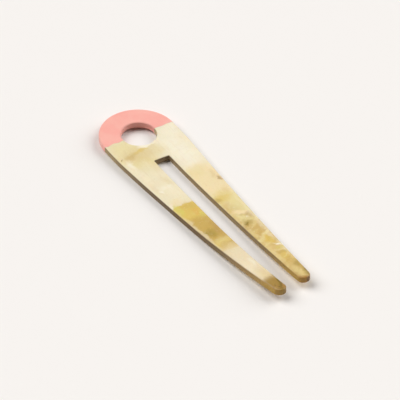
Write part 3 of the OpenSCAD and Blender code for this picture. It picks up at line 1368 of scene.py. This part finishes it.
    def material(self) -> bpy.types.Material:
        """Builds the material.

        Returns:
            The material.
        """
        graph = ShaderGraph(self.name)
        place = graph.place(self.form.middle_x())
        plan = self.stirred(graph, place)
        drift = graph.noise(place, self.drift_rate, 3.0).rise(0.36, 0.64)
        colour = graph.mix(drift, Tone.CREAM.colour, Tone.IVORY.colour)
        colour = self.clouded(graph, plan, colour, HEAD_CLOUDS + NEAR_CLOUDS)
        colour = self.clouded(graph, self.later(graph, plan, colour), colour, FAR_CLOUDS)
        colour = self.rippled(graph, place, plan, colour)
        colour = self.clouded(graph, plan, colour, TIP_CLOUDS)
        fibres = graph.noise(graph.vector("MULTIPLY", place, self.fibre_rates), 1.0, 4.0, 0.6)
        fine = graph.noise(graph.vector("MULTIPLY", place, self.fine_rates), 1.0, 3.0, 0.6)
        fibre = from_hex(self.fibre)
        colour = graph.mix(fibres.rise(0.5, 0.8) * self.fibre_share, colour, fibre)
        colour = graph.mix(fine.rise(0.55, 0.75) * self.fine_share, colour, fibre)
        # Every face that is not flat gets a browner colour, partly that of sawn horn and partly painted
        # shade.
        tilt = abs(graph.add("ShaderNodeTexCoord", {}, {}, "Normal").parts()[2])
        side = tilt.fall(self.upright, self.flat)
        cut_and_shade = self.clouded(graph, plan, from_hex(self.cut_and_shade), CUT_AND_SHADE_CLOUDS)
        colour = graph.mix(side * self.cut_and_shade_share, colour, cut_and_shade)
        # Painted shade on the sides, darkest just under the upper edge, in the colour of the pores.
        colour = graph.mix(side * self.painted_shade_under_edge(place), colour, from_hex(self.pore_and_shade))
        pores = graph.noise(place, self.pore_rate, 1.0).rise(0.55, 0.6) * self.cover(graph, plan, PORED)
        colour = graph.mix(pores * (1 - side), colour, from_hex(self.pore_and_shade))
        bump = graph.bump(fibres * 0.6 + fine * 0.4, self.relief, self.relief_share)
        return graph.surface({
            "Base Color": colour,
            "Roughness": self.roughness + fibres * self.fibre_roughness + side * self.cut_roughness,
            "Normal": bump,
            "IOR": self.ior,
            "Subsurface Weight": self.translucence,
            "Subsurface Radius": self.depth,
            "Subsurface Scale": 1.0,
        })


@dataclass(frozen=True)
class LacquerFinish:
    """Smooth pink lacquer with a soft sheen, a little thicker in places, and with painted shade on the wall
    of the hole.

    Attributes:
        form: The pin's form.
        name: Name of the material.
        thin: Colour where the coat is thin.
        thick: Colour where it is thick.
        hole_shade: Colour of the painted shade towards which it goes on the wall of the hole.
        hole_shade_share: How far it does.
        hole_shade_reach: Distances from the hole's wall from which and up to which that fades.
        flow_rate: How fast the coat's thickness changes, in humps to a millimetre.
        peel_rate: The same for the fine unevenness of its surface.
        relief: Height of that unevenness, in millimetres.
        relief_share: How much of it shows.
        roughness: Roughness of the coat.
        flow_roughness: What its thickness adds to it.
        ior: How strongly it bends light.
    """

    form: PinForm
    name: str = "pink_lacquer"
    thin: str = "#feb9ab"
    thick: str = "#fdb0a3"
    hole_shade: str = "#e08f80"
    hole_shade_share: float = 0.3
    hole_shade_reach: tuple[float, float] = (0.1, 0.8)
    flow_rate: float = 0.16
    peel_rate: float = 0.9
    relief: float = 0.02
    relief_share: float = 0.2
    roughness: float = 0.36
    flow_roughness: float = 0.1
    ior: float = 1.5

    def material(self) -> bpy.types.Material:
        """Builds the material.

        Returns:
            The material.
        """
        graph = ShaderGraph(self.name)
        place = graph.place(self.form.middle_x())
        flow = graph.noise(place, self.flow_rate, 3.0)
        colour = graph.mix(flow.rise(0.35, 0.65), from_hex(self.thin), from_hex(self.thick))
        # Painted shade: the pink goes darker on the wall of the hole and its rim.
        from_hole = graph.vector("SUBTRACT", place, (self.form.hole_x, 0.0, 0.0))
        away = graph.vector("LENGTH", graph.vector("MULTIPLY", from_hole, (1.0, 1.0, 0.0)))
        near, far = (self.form.hole_r + reach for reach in self.hole_shade_reach)
        wall = away.fall(near, far, self.hole_shade_share)
        colour = graph.mix(wall, colour, from_hex(self.hole_shade))
        return graph.surface({
            "Base Color": colour,
            "Roughness": self.roughness + flow * self.flow_roughness,
            "Normal": graph.bump(graph.noise(place, self.peel_rate), self.relief, self.relief_share),
            "IOR": self.ior,
        })


@dataclass(frozen=True)
class PaperFinish:
    """The pale floor: smooth matt paper.

    Attributes:
        name: Name of the material.
        tint: Its colour.
        grain_rate: How fast its grain changes, in humps to a millimetre.
        relief: Height of the grain, in millimetres.
        relief_share: How much of it shows.
        roughness: Roughness of the paper.
    """

    name: str = "pale_paper"
    tint: str = "#f3efeb"
    grain_rate: float = 2.5
    relief: float = 0.02
    relief_share: float = 0.1
    roughness: float = 0.9

    def material(self) -> bpy.types.Material:
        """Builds the material.

        Returns:
            The material.
        """
        graph = ShaderGraph(self.name)
        grain = graph.noise(graph.place(), self.grain_rate, 3.0)
        return graph.surface({
            "Base Color": from_hex(self.tint),
            "Roughness": self.roughness,
            "Normal": graph.bump(grain, self.relief, self.relief_share),
        })


@dataclass(frozen=True)
class Softbox:
    """A round light far off, so that it lights the whole floor evenly.

    Attributes:
        name: Its name.
        azimuth: Its direction round the pin in degrees, counted as the camera's is.
        elevation: Its height over the floor in degrees.
        width: How wide it looks from the pin, in degrees.
        power: Its strength in watts to a square metre.
    """

    name: str
    azimuth: float
    elevation: float
    width: float
    power: float

    def build(self) -> None:
        """Adds the light."""
        data = bpy.data.lights.new(self.name, "SUN")
        data.angle = math.radians(self.width)
        data.energy = self.power
        light = bpy.data.objects.new(self.name, data)
        out = direction(self.azimuth, self.elevation)
        light.location = out
        light.rotation_euler = (-out).to_track_quat("-Z", "Y").to_euler()
        bpy.context.scene.collection.objects.link(light)


def direction(azimuth: float, elevation: float) -> Vector:
    """The way from the pin to a place, by degrees of azimuth, 0 at -Y, and of elevation."""
    a, e = math.radians(azimuth), math.radians(elevation)
    return Vector((math.sin(a) * math.cos(e), -math.cos(a) * math.cos(e), math.sin(e)))


@dataclass
class Studio:
    """The floor, the light and the camera.

    Attributes:
        azimuth: Direction of the camera round the pin in degrees, 0 at -Y and 90 at +X.
        elevation: Its height over the floor in degrees.
        distance: Its distance from the target in metres.
        pixels_per_mm: Pixels of the photograph to a millimetre at the target.
        target: What it looks at, in millimetres of the shared frame.
        floor_side: Side of the square floor in metres.
        sky: Strength of the even light.
        softboxes: The lights.
    """

    azimuth: float = 58.34
    elevation: float = 38.16
    distance: float = 1.0
    pixels_per_mm: float = 2.5846
    target: tuple[float, float, float] = (-0.06, -1.09, 2.7)
    floor_side: float = 60.0
    sky: float = 0.03
    softboxes: tuple[Softbox, ...] = (
        Softbox("softbox_left", azimuth=315, elevation=51, width=53, power=2.34),
        Softbox("softbox_right", azimuth=171, elevation=37, width=56, power=2.28),
    )

    def floor(self) -> None:
        """Adds the floor."""
        mesh = bpy.data.meshes.new("floor")
        far = self.floor_side / 2
        corners = [(-far, -far, 0), (far, -far, 0), (far, far, 0), (-far, far, 0)]
        mesh.from_pydata(corners, [], [(0, 1, 2, 3)])
        floor = bpy.data.objects.new("floor", mesh)
        bpy.context.scene.collection.objects.link(floor)
        floor.data.materials.append(PaperFinish().material())

    def lights(self) -> None:
        """Adds the softboxes and the even light of the room."""
        world = bpy.data.worlds.new("room")
        world.use_nodes = True
        background = world.node_tree.nodes["Background"]
        background.inputs["Color"].default_value = (1.0, 1.0, 1.0, 1.0)
        background.inputs["Strength"].default_value = self.sky
        bpy.context.scene.world = world
        for softbox in self.softboxes:
            softbox.build()

    def camera(self) -> None:
        """Adds the camera at the photograph's angle and scale."""
        data = bpy.data.cameras.new("camera")
        data.sensor_width = SENSOR
        data.lens = self.pixels_per_mm * self.distance / MM / PHOTO_SIDE * SENSOR
        camera = bpy.data.objects.new("camera", data)
        out = direction(self.azimuth, self.elevation)
        camera.location = Vector(self.target) * MM + out * self.distance
        camera.rotation_euler = (-out).to_track_quat("-Z", "Y").to_euler()
        bpy.context.scene.collection.objects.link(camera)
        bpy.context.scene.camera = camera

    def build(self) -> None:
        """Adds everything, and shows colours as they are."""
        self.floor()
        self.lights()
        self.camera()
        bpy.context.scene.view_settings.view_transform = "Standard"


def seat(piece: bpy.types.Object, node: str) -> None:
    """Lets a piece stand for its node and ride on the pin's one body.

    Args:
        piece: The piece.
        node: The node that it replaces.
    """
    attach(piece, BODY)
    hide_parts(node)


def main() -> None:
    """Builds the studio and the pin's two pieces in order."""
    logging.basicConfig(level=logging.INFO, format="%(name)s: %(message)s")
    form = PinForm()
    Studio().build()
    for part in (HornFork(form), LacquerCap(form)):
        piece = part.build()
        part.dress(piece)
        LOG.info("%s is built: %d faces", piece.name, len(piece.data.polygons))


if __name__ == "__main__":
    main()
